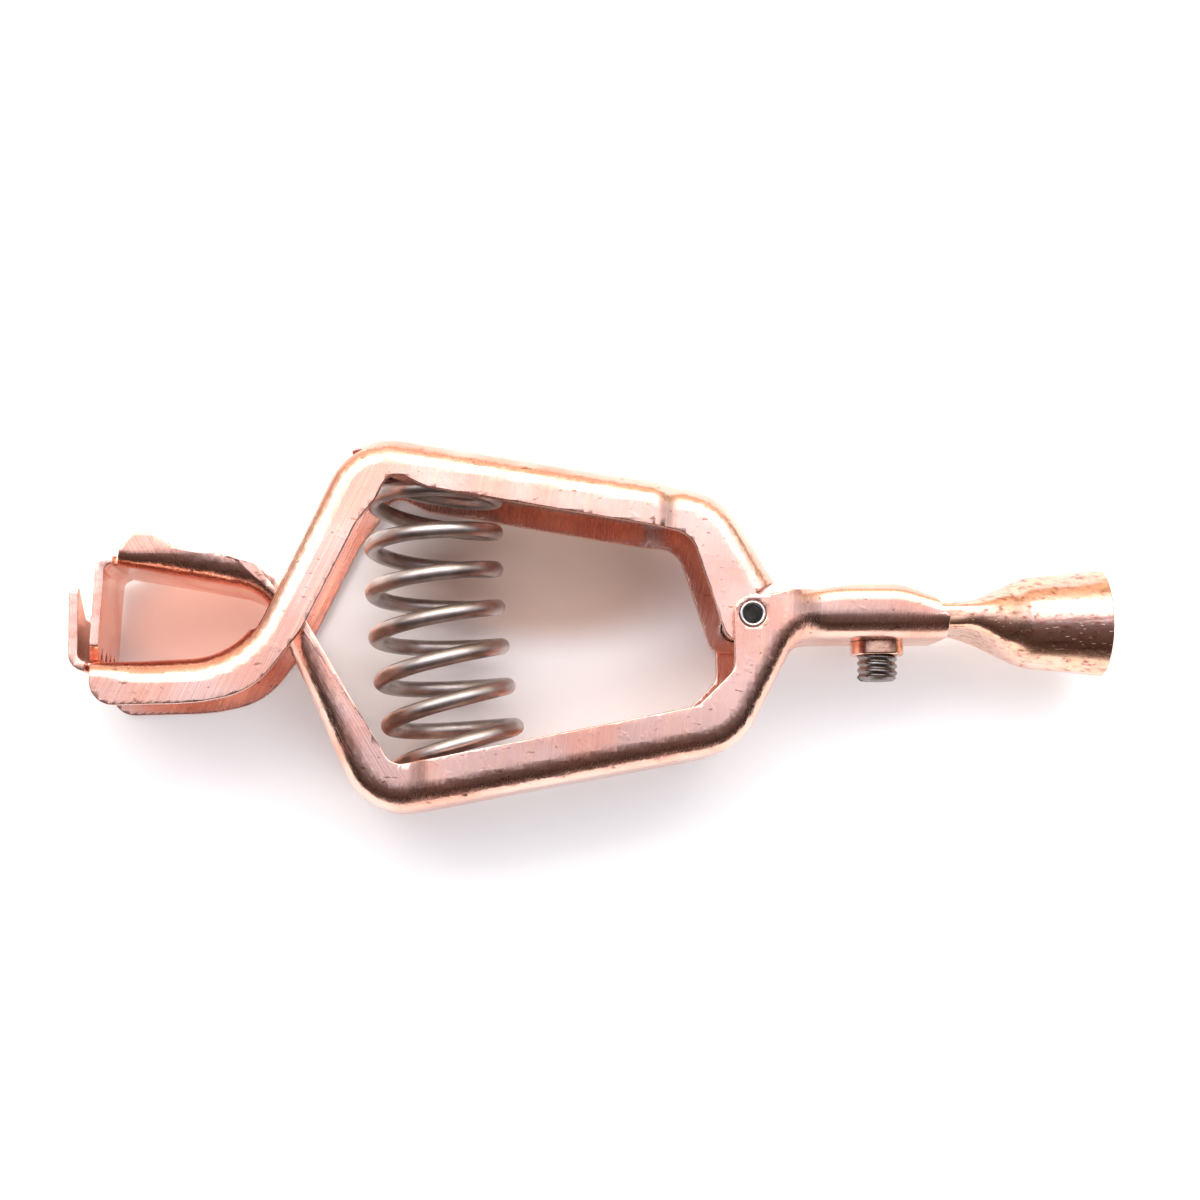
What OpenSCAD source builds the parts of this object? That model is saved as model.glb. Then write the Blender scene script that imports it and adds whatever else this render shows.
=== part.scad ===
// Solid copper spring clip for a test, plating or grounding lead.
// Two channel-formed arms cross like scissors and turn on a tubular rivet.
// A coil spring between the arms holds the jaws shut; squeezing the arms opens them.
// Frame: origin on the rivet's axis at mid-width, +X towards the cable socket,
// +Z along the rivet, and the clip lies on its side.

/* [Sheet] */
// Thickness of the copper sheet
sheet_t = 1.5; // [1.3:0.1:1.6]
// Width across the outside of the channel
clip_w = 26; // [25:0.5:28]
// Sideways gap between parts that slide past each other
side_gap = 0.15; // [0.1:0.05:0.3]

/* [Upper arm] */
// Height of the gripping lip above the lower jaw's floor
lip_h = 10.9; // [9:0.1:11.5]
// Depth of the notch between the two prongs of the lip
lip_notch_depth = 3.7; // [1:0.1:5]
// Height above the rivet where the slot for the other arm begins
slot_low_y = -2; // [-3:0.5:0]
// Height above the rivet where the slot for the other arm ends
slot_high_y = 25; // [24:0.5:25.5]

/* [Lower arm] */
// Teeth along the edge of the front plate
tooth_count = 5; // [3:1:8]
// Height of each tooth
tooth_h = 2; // [1:0.25:3]
// Width across the outside of the shank
shank_w = 20; // [19:0.5:21]
// Gap between the shank's two folded flanges
fold_gap = 0.8; // [0.4:0.1:2]

/* [Rivet] */
// Outside diameter of the tubular rivet
rivet_d = 4; // [3.6:0.1:4.2]
// Diameter of the hole through the rivet
rivet_bore_d = 3; // [2:0.1:3.1]
// Radial running clearance between the rivet and the upper arm
rivet_clearance = 0.08; // [0.05:0.01:0.1]

/* [Spring] */
// Diameter of the spring wire
wire_d = 2.4; // [2:0.1:2.5]
// Outside diameter of the coils
spring_d = 21.6; // [20:0.1:21.8]
// Free coils between the two closed end coils
active_turns = 6.5; // [5:0.5:7.5]

/* [Cable socket] */
// Diameter of the cable hole
socket_bore_d = 12; // [10:0.5:12.4]
// Length of the round part of the cable hole
socket_bore_len = 8; // [6:0.5:9]
// Outside diameter at the mouth
socket_mouth_d = 16.8; // [16:0.2:17.4]

/* [Set screw] */
// Diameter of the screw
screw_d = 6.2; // [5.6:0.1:6.3]
// Length of the screw
screw_len = 8.8; // [8:0.2:9]
// Width of the screwdriver slot
screw_slot_w = 1.1; // [0.8:0.1:1.4]

/* [Hidden] */
arc_step = 12;
through = 120;
copper = "#c98a6b";
steel = "#8c8a88";

half_w = clip_w / 2;
inner_half = half_w - sheet_t;
nest_half = inner_half - side_gap;
shank_half = shank_w / 2;

// Corner points are [x, y, radius of the rounded corner].
// The upper arm's outer face, from the top of its lip to the end over the rivet.
floor_left = [-100, -7.1];
upper_face = [
    [floor_left[0], floor_left[1] + lip_h, 0], [floor_left[0], floor_left[1], 1.2],
    [-76.9, -5.9, 11.5], [-60.5, 27.9, 10.5], [-3.8, 18.8, 11.4], [4, 5.2, 0]
];
// The edge of its flanges, from the ears round the rivet back to the lower jaw.
upper_edge = [
    [4.2, -4, 4], [-3.6, -4, 2.5], [-8.9, 12.4, 4], [-49, 19.1, 1.5], [-54.3, 21.7, 2.4],
    [-56.6, 17.2, 1.2], [-59.4, 13.7, 5], [-67.3, -2.3, 12], [-74.3, -11.3, 12],
    [-82, -13.2, 30], [-98.5, -13.6, 4.5]
];

// The lower arm's outer face, from the teeth of its front plate to the end of the shank.
plate_tip = [-97.4, -6.8];
shank_y = -3.2;
shank_end_x = 30.8;
lower_face = [
    [plate_tip[0], plate_tip[1], 0], [-96.5, 7.9, 1.2], [-73.3, 3.7, 7.5], [-57.9, -30.5, 9.6],
    [-1.8, -20.3, 10.7], [7.3, shank_y, 6], [shank_end_x, shank_y, 0]
];
shank_top_y = 3.8;
// The edge of its flanges, from the shank round the rivet to the upper jaw.
lower_edge = [
    [shank_end_x + 0.2, -1.6, 1.2], [28, shank_top_y, 3.5], [6.2, shank_top_y, 6],
    [2.2, 2.9, 2], [-2.9, 2.9, 2.8], [-2.8, -8.3, 3], [-8.4, -13.8, 3], [-47, -21.2, 3],
    [-54, -22.4, 2.6], [-69.7, 3.3, 8], [-78.6, 9.5, 8], [-85.6, 10, 8],
    [-91.6, 13.1, 2.2], [-95.8, 10.2, 1.6]
];

// Half-width of the outside of each arm along its length, as [x, half-width, corner radius].
far_left = -110;
upper_plan = [[far_left, half_w, 0], [-13.2, half_w, 0], [-11.6, nest_half, 0], [10, nest_half, 0]];
jaw_half = nest_half - 0.2;
lower_plan = [
    [far_left, jaw_half, 0], [-50.7, jaw_half, 0], [-48.9, half_w, 0],
    [5.5, half_w, 0], [11.4, shank_half, 0], [40, shank_half, 0]
];

screw_x = 21.1;
screw_tip_y = -0.4;
collar_d = 8.3;
collar_len = 2.1;
screw_hole_clearance = 0.1;

cable_y = -0.2;
tail_x = 26.5;
neck_x = 34.5;
round_x = 44.4;
mouth_x = 56.7;
socket_wall = 1.1;
round_r = socket_bore_d / 2 + socket_wall;
tail_half_w = shank_half - sheet_t - 0.2;
tail_low_y = shank_y + sheet_t + 0.1;
tail_high_y = shank_top_y - sheet_t - 0.1;

// ---- Plane geometry ----

function xy(p) = [p[0], p[1]];
function unit(v) = v / norm(v);
function left_of(v) = [-v[1], v[0]];

// Points of the rounded corner b between its neighbours a and c.
function corner(a, b, c) =
    b[2] == 0 ? [xy(b)] :
    let (to_a = unit(xy(a) - xy(b)), to_c = unit(xy(c) - xy(b)))
    let (half_angle = acos(to_a * to_c) / 2)
    let (centre = xy(b) + unit(to_a + to_c) * b[2] / sin(half_angle))
    let (from = xy(b) + to_a * b[2] / tan(half_angle) - centre)
    let (turn = 180 - 2 * half_angle)
    let (side = left_of(to_a) * to_c < 0 ? 1 : -1)
    let (steps = max(2, ceil(turn / arc_step)))
    [for (i = [0:steps]) centre + turned(from, side * turn * i / steps)];
function turned(v, angle) = [v[0] * cos(angle) - v[1] * sin(angle), v[0] * sin(angle) + v[1] * cos(angle)];

function rounded_path(path) =
    let (last = len(path) - 1)
    [for (i = [0:last]) each corner(path[max(i - 1, 0)], path[i], path[min(i + 1, last)])];
function rounded_outline(path) =
    let (n = len(path))
    [for (i = [0:n - 1]) each corner(path[(i + n - 1) % n], path[i], path[(i + 1) % n])];

// The same corner path moved sideways by d, to the left of its direction when d is positive.
function moved_corner(a, b, c, d) =
    let (in = left_of(unit(b - a)), out = left_of(unit(c - b)))
    b + (in + out) * d / (1 + in * out);
function turns_left(a, b, c) = left_of(b - a) * (c - b) > 0;
function moved_path(path, d) =
    let (last = len(path) - 1)
    [for (i = [0:last])
        let (b = xy(path[i]))
        let (a = i == 0 ? 2 * b - xy(path[1]) : xy(path[i - 1]))
        let (c = i == last ? 2 * b - xy(path[last - 1]) : xy(path[i + 1]))
        let (r = path[i][2])
        let (moved = moved_corner(a, b, c, d))
        [moved[0], moved[1], r == 0 ? 0 : r - (turns_left(a, b, c) ? d : -d)]];
function reversed(list) = [for (i = [len(list) - 1:-1:0]) list[i]];
// Outline of a strip of sheet whose one face is the path and whose other face is d to its left.
function sheet_strip(path, d) = concat(rounded_path(path), reversed(rounded_path(moved_path(path, d))));

// ---- Formed channels ----

module across() {
    linear_extrude(through, center = true)
        children();
}

// A prism seen from the edge side: the child's y is the width direction.
module in_plan() {
    rotate([90, 0, 0])
        linear_extrude(through, center = true)
            children();
}

// A channel: flange outline, web strip and half-width along the length.
module channel(face, edge, plan, web_side) {
    for (side = [0, 1])
        intersection() {
            across() polygon(rounded_outline(concat([for (i = [1:len(face) - 1]) face[i]], edge)));
            in_plan() mirror([0, side]) polygon(sheet_strip(plan, -sheet_t));
        }
    intersection() {
        across() polygon(sheet_strip(face, web_side * sheet_t));
        in_plan() polygon(concat(rounded_path(plan), [for (p = reversed(plan)) [p[0], -p[1]]]));
    }
}

module rivet_hole(d) {
    cylinder(d = d, h = through, center = true, $fn = 64);
}

// ---- The clip's pieces ----

module upper_arm() {
    color(copper)
        difference() {
            channel(upper_face, upper_edge, upper_plan, -1);
            rivet_hole(rivet_d + 2 * rivet_clearance);
            arm_slot();
            lip_notch();
        }
}

// The opening in the leg's web that the other arm passes through.
module arm_slot() {
    linear_extrude(2 * inner_half, center = true)
        polygon([
            [-80, slot_low_y], [-69, slot_low_y], [-68, -1], [-57.5, slot_high_y - 3],
            [-57.5, slot_high_y], [-80, slot_high_y]
        ]);
}

// The sloping notch that leaves a prong at each side of the lip.
module lip_notch() {
    top = floor_left[1] + lip_h;
    wide = half_w - 1.3;
    narrow = 5.3;
    translate([floor_left[0], 0, 0])
        rotate([0, -90, 0])
            linear_extrude(2 * sheet_t + 2, center = true)
                polygon([
                    [-wide, top + 1], [wide, top + 1], [wide, top],
                    [narrow, top - lip_notch_depth], [-narrow, top - lip_notch_depth], [-wide, top]
                ]);
}

module lower_arm() {
    color(copper) {
        difference() {
            channel(lower_face, lower_edge, lower_plan, 1);
            rivet_hole(rivet_d);
            tooth_gaps();
            translate([screw_x, 0, 0])
                rotate([90, 0, 0])
                    cylinder(d = screw_d + 2 * screw_hole_clearance, h = 8, $fn = 48);
        }
        shank_folds();
    }
}

// The V gaps that leave a row of teeth along the front plate's edge.
module tooth_gaps() {
    pitch = 2 * jaw_half / tooth_count;
    for (i = [0:tooth_count])
        translate([plate_tip[0], plate_tip[1], -jaw_half + i * pitch])
            rotate([0, 90, 0])
                linear_extrude(6, center = true)
                    polygon([[-pitch / 2, -0.1], [pitch / 2, -0.1], [0, tooth_h]]);
}

// The flanges of the shank, folded over the tail of the cable socket.
module shank_folds() {
    fold_from_x = 11.4;
    fold_to_x = 26.2;
    fold_w = shank_half - sheet_t / 2 - fold_gap / 2;
    for (side = [0, 1])
        mirror([0, 0, side])
            translate([fold_from_x, shank_top_y - sheet_t, fold_gap / 2])
                cube([fold_to_x - fold_from_x, sheet_t, fold_w]);
}

module pivot_rivet() {
    color(steel)
        difference() {
            cylinder(d = rivet_d, h = clip_w, center = true, $fn = 64);
            rivet_hole(rivet_bore_d);
        }
}

// The spring's line runs from a seat on the upper web to a seat on the lower web.
// Its coils fan out because the two seats are not parallel.
seat_gap = 0.45;
top_seat = seat_on(upper_face[3], upper_face[4], -47, -1);
low_seat = seat_on(lower_face[3], lower_face[4], -42.4, 1);
top_tilt = slope_angle(upper_face[3], upper_face[4]);
low_tilt = slope_angle(lower_face[3], lower_face[4]);
seat_lean = tan((low_tilt - top_tilt) / 2);
coil_r = (spring_d - wire_d) / 2;
wire_sides = 8;
steps_per_turn = 24;
start_angle = 60;
turns = active_turns + 2;
function slope_angle(a, b) = atan2(b[1] - a[1], b[0] - a[0]);
function seat_on(a, b, x, side) =
    let (along = unit(xy(b) - xy(a)))
    let (on_face = xy(a) + along * (x - a[0]) / along[0])
    on_face + left_of(along) * side * (sheet_t + wire_d / 2 + seat_gap);
seat_distance = norm(low_seat - top_seat);
end_share = wire_d / seat_distance;
// Share of the spring's length reached after a number of turns: the end coils lie closed.
function share_at(turn) =
    turn < 1 ? end_share * turn :
    turn > turns - 1 ? 1 - end_share * (turns - turn) :
    end_share + (1 - 2 * end_share) * (turn - 1) / active_turns;
function axis_point(s) =
    top_seat + (low_seat - top_seat) * s + [-seat_lean * seat_distance * s * (1 - s), 0];
function coil_point(turn) =
    let (s = share_at(turn))
    let (tilt = top_tilt + (low_tilt - top_tilt) * s)
    let (angle = start_angle + 360 * turn)
    let (out = coil_r * cos(angle))
    let (centre = axis_point(s))
    [centre[0] + out * cos(tilt), centre[1] + out * sin(tilt), coil_r * sin(angle)];
function ring(turn) =
    let (here = coil_point(turn))
    let (along = unit(coil_point(turn + 0.01) - coil_point(turn - 0.01)))
    let (side = unit(cross(along, [0, 1, 0])))
    let (up = cross(side, along))
    [for (k = [0:wire_sides - 1])
        here + (side * cos(360 * k / wire_sides) + up * sin(360 * k / wire_sides)) * wire_d / 2];

module spring() {
    rings = steps_per_turn * turns;
    points = [for (i = [0:rings]) each ring(i / steps_per_turn)];
    walls = [for (i = [0:rings - 1], k = [0:wire_sides - 1])
        let (a = i * wire_sides + k, b = i * wire_sides + (k + 1) % wire_sides)
        [a, b, b + wire_sides, a + wire_sides]];
    first_cap = [for (k = [wire_sides - 1:-1:0]) k];
    last_cap = [for (k = [0:wire_sides - 1]) rings * wire_sides + k];
    color(steel)
        polyhedron(points, concat([first_cap], walls, [last_cap]), convexity = 10);
}

// The cable socket: a round flared tube whose tail is flattened to fit in the shank.
module cable_socket() {
    color(copper)
        difference() {
            union() {
                socket_skin(0);
                turned_tube([
                    [0, round_x], [round_r, round_x], [round_r + 0.3, mouth_x - 4],
                    [socket_mouth_d / 2, mouth_x], [0, mouth_x]
                ]);
            }
            socket_skin(socket_wall);
            turned_tube([
                [0, round_x], [socket_bore_d / 2, round_x],
                [socket_bore_d / 2, round_x + socket_bore_len],
                [socket_mouth_d / 2 - socket_wall, mouth_x + 0.1], [0, mouth_x + 0.1]
            ]);
        }
}

// A turned solid about the cable's axis; profile points are [radius, x].
module turned_tube(profile) {
    translate([0, cable_y, 0])
        rotate([90, 0, 90])
            rotate_extrude($fn = 96)
                polygon(profile);
}

// The flattened tail and the blend from it to the round tube, inset by a wall thickness.
module socket_skin(inset) {
    tail_h = tail_high_y - tail_low_y;
    blend_lap = 0.3;
    blend_r = round_r - inset - 0.1;
    translate([inset > 0 ? tail_x - 1 : tail_x, tail_low_y + inset, -tail_half_w + inset])
        cube([5.5, tail_h - 2 * inset, 2 * (tail_half_w - inset)]);
    hull() {
        translate([neck_x - 3, tail_low_y + inset + 0.05, -tail_half_w + inset + 0.05])
            cube([0.2, tail_h - 2 * inset - 0.1, 2 * (tail_half_w - inset) - 0.1]);
        neck_slice(inset);
    }
    hull() {
        neck_slice(inset + 0.05);
        translate([round_x, cable_y, 0])
            rotate([0, 90, 0])
                cylinder(r = blend_r, h = blend_lap, $fn = 32);
    }
}

module neck_slice(inset) {
    neck_half_y = 2.5;
    neck_half_z = 9.6;
    translate([neck_x, cable_y - neck_half_y + inset, inset - neck_half_z])
        cube([0.1, 2 * (neck_half_y - inset), 2 * (neck_half_z - inset)]);
}

module screw_collar() {
    color(copper)
        translate([screw_x, shank_y, 0])
            rotate([90, 0, 0])
                difference() {
                    cylinder(d = collar_d, h = collar_len, $fn = 48);
                    translate([0, 0, -1])
                        cylinder(d = screw_d + 2 * screw_hole_clearance, h = collar_len + 2, $fn = 48);
                }
}

module set_screw() {
    slot_depth = 1.6;
    chamfer = 0.5;
    color(steel)
        translate([screw_x, screw_tip_y, 0])
            rotate([90, 0, 0])
                difference() {
                    union() {
                        cylinder(d1 = screw_d - 2 * chamfer, d2 = screw_d, h = chamfer, $fn = 48);
                        translate([0, 0, chamfer])
                            cylinder(d = screw_d, h = screw_len - 2 * chamfer, $fn = 48);
                        translate([0, 0, screw_len - chamfer])
                            cylinder(d1 = screw_d, d2 = screw_d - 2 * chamfer, h = chamfer, $fn = 48);
                    }
                    translate([-screw_slot_w / 2, -screw_d, screw_len - slot_depth])
                        cube([screw_slot_w, 2 * screw_d, slot_depth + 1]);
                }
}

lower_arm();
upper_arm();
pivot_rivet();
spring();
cable_socket();
screw_collar();
set_screw();
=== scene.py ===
"""Solid copper spring clip: the look of each piece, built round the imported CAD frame.

Lengths below are in millimetres in the CAD frame: the origin is on the rivet's axis at mid-width, +X runs
towards the cable socket and +Z along the rivet. Meshes are scaled to metres when they are made.
"""
import math

import bmesh
import bpy
import numpy as np
from mathutils import Matrix, Vector, noise


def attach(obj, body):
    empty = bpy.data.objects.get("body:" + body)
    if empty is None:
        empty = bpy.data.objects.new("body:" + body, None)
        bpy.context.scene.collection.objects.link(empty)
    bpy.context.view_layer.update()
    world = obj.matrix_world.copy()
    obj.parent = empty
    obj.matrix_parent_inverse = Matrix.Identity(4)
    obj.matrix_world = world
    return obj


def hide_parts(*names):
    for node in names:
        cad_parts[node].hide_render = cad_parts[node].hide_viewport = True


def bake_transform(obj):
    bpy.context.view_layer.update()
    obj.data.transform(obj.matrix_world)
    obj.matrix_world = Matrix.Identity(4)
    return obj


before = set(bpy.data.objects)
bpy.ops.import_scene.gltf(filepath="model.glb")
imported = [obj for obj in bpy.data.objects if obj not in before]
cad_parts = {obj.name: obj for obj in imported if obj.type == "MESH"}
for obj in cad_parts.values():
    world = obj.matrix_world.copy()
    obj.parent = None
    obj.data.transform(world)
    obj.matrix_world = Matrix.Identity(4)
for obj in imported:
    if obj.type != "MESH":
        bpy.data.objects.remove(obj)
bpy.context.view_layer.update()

MM = 0.001

# ---------------------------------------------------------------- sheet sizes
SHEET = 1.5                     # thickness of the copper sheet
SLIT = 0.3                      # width of the slits that part the flanges from the flat jaw plates
HALF_W = 13.0                   # half the clip's width
NEST_HALF = 11.35               # half-width of the upper arm's ears, inside the lower arm's
JAW_HALF = 11.15                # half-width of the lower arm's leg and jaw, inside the upper arm
SHANK_HALF = 10.0               # half-width of the shank
BEND_R = 3.8                    # outside radius of the bends along the channel
BEND_R_AT_JAW = 2.3             # outside radius of the same bends where each channel starts, at the jaw
BEND_GROWS = 9                  # length over which the bend's radius grows from the one to the other
UPPER_START = -98.5             # x at which the upper arm's flanges start
LOWER_START = -95.0             # and the lower arm's
RIVET_R = 2.0
RIVET_PLAY = 0.08               # clearance round the rivet in the upper arm

# Corner points are (x, y, radius of the rounded corner).
LIP_FOOT = (-100.0, -7.1)
LIP_TOP = 3.8
LIP_NOTCH_DEEP = 3.7            # depth of the notch that leaves the lip's two prongs
LIP_NOTCH_HALF = 5.3            # half-width of that notch's bottom
PRONG_W = 1.3                   # width of each prong's top
UPPER_FACE = [
    (LIP_FOOT[0], LIP_TOP, 0), (LIP_FOOT[0], LIP_FOOT[1], 1.2),
    (-76.9, -5.9, 11.5), (-60.5, 27.9, 10.5), (-3.8, 18.8, 11.4), (4.0, 5.2, 0),
]
UPPER_EDGE = [
    (4.3, 2.5, 1.5), (4.2, -4.0, 3.8), (-3.6, -4.0, 2.5), (-8.9, 12.4, 4.0), (-49.0, 19.1, 1.5),
    (-54.3, 21.7, 2.4), (-56.6, 17.2, 1.2), (-59.4, 13.7, 5.0), (-67.3, -2.3, 12.0),
    (-74.3, -11.3, 12.0), (-82.0, -13.2, 30.0), (-98.5, -13.6, 3.6),
]
PLATE_TIP = (-97.4, -6.8)
SHANK_Y = -3.2                  # height of the shank's underside
SHANK_END = 30.8
LOWER_FACE = [
    (PLATE_TIP[0], PLATE_TIP[1], 0), (-96.5, 7.9, 1.2), (-73.3, 3.7, 7.5), (-57.9, -30.5, 9.6),
    (-1.8, -20.3, 10.7), (7.3, SHANK_Y, 6.0), (SHANK_END, SHANK_Y, 0),
]
FOLD_LINE = 1.9                 # height at which the shank's flanges start to fold over
FOLD_REACH = 9.6                # length of sheet past the fold line
FOLD_R = 2.0                    # outside radius of the fold
FOLD_SPAN = (6.5, 11.5)         # where the flanges go from straight up to fully folded
LOWER_EDGE = [
    (28.6, FOLD_LINE + 2, 3.0), (27.4, FOLD_LINE + FOLD_REACH, 1.2),
    (15.0, FOLD_LINE + FOLD_REACH, 3.0), (11.0, 4.0, 3.0),
    (6.2, 3.8, 3.0), (2.2, 2.9, 2.0), (-2.9, 2.9, 2.8), (-2.8, -8.3, 3.0), (-8.4, -13.8, 3.0),
    (-47.0, -21.2, 3.0), (-54.0, -22.4, 2.6), (-69.7, 3.3, 8.0), (-78.6, 9.5, 8.0), (-85.6, 10.0, 8.0),
    (-91.6, 13.1, 2.2),
]
TOOTH_COUNT = 5
TOOTH_H = 2.2
SLOT_LOW_Y = -2                 # height at which the slot for the lower arm starts in the upper arm's leg
SLOT_HIGH_Y = 25                # and ends
EASE = 0.2                      # rounding of the sheet's edges
RIPPLE = 0.12                   # how uneven the sheet's surface is
GRID = 1.3                      # spacing of the cuts that let the flats be shaped
FINE_GRID = 0.5                 # and across the joggles and folds
# Half-widths along each arm, as (x, half-width).
UPPER_PLAN = [(-14.8, HALF_W), (-10.4, NEST_HALF)]
LOWER_PLAN = [(-52.4, JAW_HALF), (-47.6, HALF_W), (4.5, HALF_W), (12.4, SHANK_HALF)]


# ---------------------------------------------------------------- plane curves

def unit(v):
    """The vector at length 1."""
    return v / np.linalg.norm(v)


def turned(v, angle):
    """The plane vector turned to the left by the angle."""
    c, s = math.cos(angle), math.sin(angle)
    return np.array([v[0] * c - v[1] * s, v[0] * s + v[1] * c])


def corner(a, b, c, step=math.radians(7.5)):
    """Points of the rounded corner b between its neighbours a and c."""
    p, radius = np.array(b[:2], float), b[2]
    if radius == 0:
        return [p]
    to_a, to_c = unit(np.array(a[:2]) - p), unit(np.array(c[:2]) - p)
    half = math.acos(float(np.clip(to_a @ to_c, -1, 1))) / 2
    centre = p + unit(to_a + to_c) * radius / math.sin(half)
    first = p + to_a * radius / math.tan(half) - centre
    turn = math.pi - 2 * half
    side = 1 if to_a[0] * to_c[1] - to_a[1] * to_c[0] < 0 else -1
    steps = max(2, math.ceil(turn / step))
    return [centre + turned(first, side * turn * i / steps) for i in range(steps + 1)]


def rounded(points):
    """The rounded line through corner points; its two ends have no radius."""
    line = []
    for i, here in enumerate(points):
        line += corner(points[max(i - 1, 0)], here, points[min(i + 1, len(points) - 1)])
    return np.array(line)


def resampled(line, spacing):
    """The same line with points added, so that no gap is longer than the spacing."""
    out = [line[0]]
    for a, b in zip(line[:-1], line[1:]):
        parts = max(1, math.ceil(np.linalg.norm(b - a) / spacing))
        out += [a + (b - a) * k / parts for k in range(1, parts + 1)]
    return np.array(out)


def inward_normals(line, side):
    """Unit normals of a line, to its left when side is 1 and to its right when side is -1."""
    step = np.gradient(line, axis=0)
    step /= np.linalg.norm(step, axis=1)[:, None]
    return np.stack([-step[:, 1], step[:, 0]], axis=1) * side


def smooth(x, low, high):
    """0 below low, 1 above high and a smooth rise between."""
    t = np.clip((x - low) / (high - low), 0, 1)
    return t * t * (3 - 2 * t)


# ---------------------------------------------------------------- mesh tools

def new_object(name, verts_mm, faces, materials):
    """A mesh object in the scene, from points in millimetres."""
    mesh = bpy.data.meshes.new(name)
    mesh.from_pydata([tuple(v) for v in np.asarray(verts_mm) * MM], [], faces)
    mesh.validate()
    piece = bpy.data.objects.new(name, mesh)
    bpy.context.scene.collection.objects.link(piece)
    for material in materials:
        mesh.materials.append(material)
    return piece


def apply_modifiers(piece):
    """Replaces the piece's mesh with the result of its modifiers."""
    bpy.context.view_layer.update()
    done = bpy.data.meshes.new_from_object(piece.evaluated_get(bpy.context.evaluated_depsgraph_get()))
    piece.modifiers.clear()
    piece.data = done


def carve(piece, cutters):
    """Cuts the cutters out of the piece and removes them."""
    for cutter in cutters:
        cut = piece.modifiers.new("cut", "BOOLEAN")
        cut.operation, cut.solver, cut.object = "DIFFERENCE", "EXACT", cutter
    apply_modifiers(piece)
    for cutter in cutters:
        bpy.data.objects.remove(cutter)


def prism(outline, low, high, axis="z"):
    """A cutter: a plane outline pulled from low to high along z, or along x with the outline in (z, y)."""
    count = len(outline)
    place = (lambda p, d: (p[0], p[1], d)) if axis == "z" else (lambda p, d: (d, p[1], p[0]))
    verts = [place(p, low) for p in outline] + [place(p, high) for p in outline]
    faces = [tuple(range(count)), tuple(range(2 * count - 1, count - 1, -1))]
    faces += [(i, i + count, (i + 1) % count + count, (i + 1) % count) for i in range(count)]
    cutter = new_object("cutter", verts, faces, [])
    outward(cutter)
    return cutter


def round_cutter(radius):
    """A round cutter about the rivet's axis, longer than the clip is wide."""
    sides, reach = 48, 20
    turns = [math.tau * k / sides for k in range(sides)]
    return prism([(radius * math.cos(turn), radius * math.sin(turn)) for turn in turns], -reach, reach)


def outward(piece):
    """Points the faces of a closed mesh outwards."""
    bm = bmesh.new()
    bm.from_mesh(piece.data)
    bmesh.ops.recalc_face_normals(bm, faces=bm.faces)
    bm.to_mesh(piece.data)
    bm.free()


def ease_edges(piece, width, angle=38):
    """Rounds every edge that is sharper than the angle in degrees, without letting the piece grow."""
    shortest_edge = 0.2
    bm = bmesh.new()
    bm.from_mesh(piece.data)
    bmesh.ops.remove_doubles(bm, verts=bm.verts, dist=shortest_edge * MM)
    bm.to_mesh(piece.data)
    bm.free()
    corners = np.array(piece.bound_box) / MM
    bevel = piece.modifiers.new("ease", "BEVEL")
    bevel.limit_method, bevel.angle_limit = "ANGLE", math.radians(angle)
    bevel.width, bevel.segments = width * MM, 2
    bevel.use_clamp_overlap = False
    bevel.miter_outer = "MITER_ARC"
    apply_modifiers(piece)
    reshape(piece, lambda co: np.clip(co, corners.min(axis=0), corners.max(axis=0)))


def grid_cuts(piece, spacing, spans):
    """Cuts the mesh with evenly spaced planes across x, then across y, within the two (low, high) spans."""
    bm = bmesh.new()
    bm.from_mesh(piece.data)
    for axis, (low, high) in enumerate(spans):
        normal = Vector((1, 0, 0)) if axis == 0 else Vector((0, 1, 0))
        for place in np.arange(low, high, spacing):
            bmesh.ops.bisect_plane(bm, geom=bm.verts[:] + bm.edges[:] + bm.faces[:], dist=1e-6,
                                   plane_co=normal * place * MM, plane_no=normal)
    bm.to_mesh(piece.data)
    bm.free()


def reshape(piece, change):
    """Passes the vertices, in millimetres, through a function that returns where they go."""
    mesh = piece.data
    co = np.empty(len(mesh.vertices) * 3)
    mesh.vertices.foreach_get("co", co)
    co = change(co.reshape(-1, 3) / MM)
    mesh.vertices.foreach_set("co", (co * MM).ravel())
    mesh.update()


def ripple(piece, depth, size, seed):
    """Moves the surface in along its normals, unevenly and by up to the depth, as worked metal is."""
    mesh = piece.data
    co, normal = np.empty(len(mesh.vertices) * 3), np.empty(len(mesh.vertices) * 3)
    mesh.vertices.foreach_get("co", co)
    mesh.vertices.foreach_get("normal", normal)
    co, normal = co.reshape(-1, 3), normal.reshape(-1, 3)
    offset = Vector((7.3, 3.1, 5.7)) * seed
    wave = np.array([noise.noise(Vector(c) / (size * MM) + offset) for c in co]) / 2 - 0.5
    moved = co + normal * wave[:, None] * depth * MM
    mesh.vertices.foreach_set("co", np.clip(moved, co.min(axis=0), co.max(axis=0)).ravel())
    mesh.update()


def shade(piece, sharp_above=50):
    """Smooth shading in which flats stay flat and edges sharper than the angle in degrees stay sharp."""
    piece.data.shade_smooth()
    piece.data.set_sharp_from_angle(angle=math.radians(sharp_above))
    weighted = piece.modifiers.new("normals", "WEIGHTED_NORMAL")
    weighted.keep_sharp = True
    apply_modifiers(piece)


# ---------------------------------------------------------------- formed arms

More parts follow.
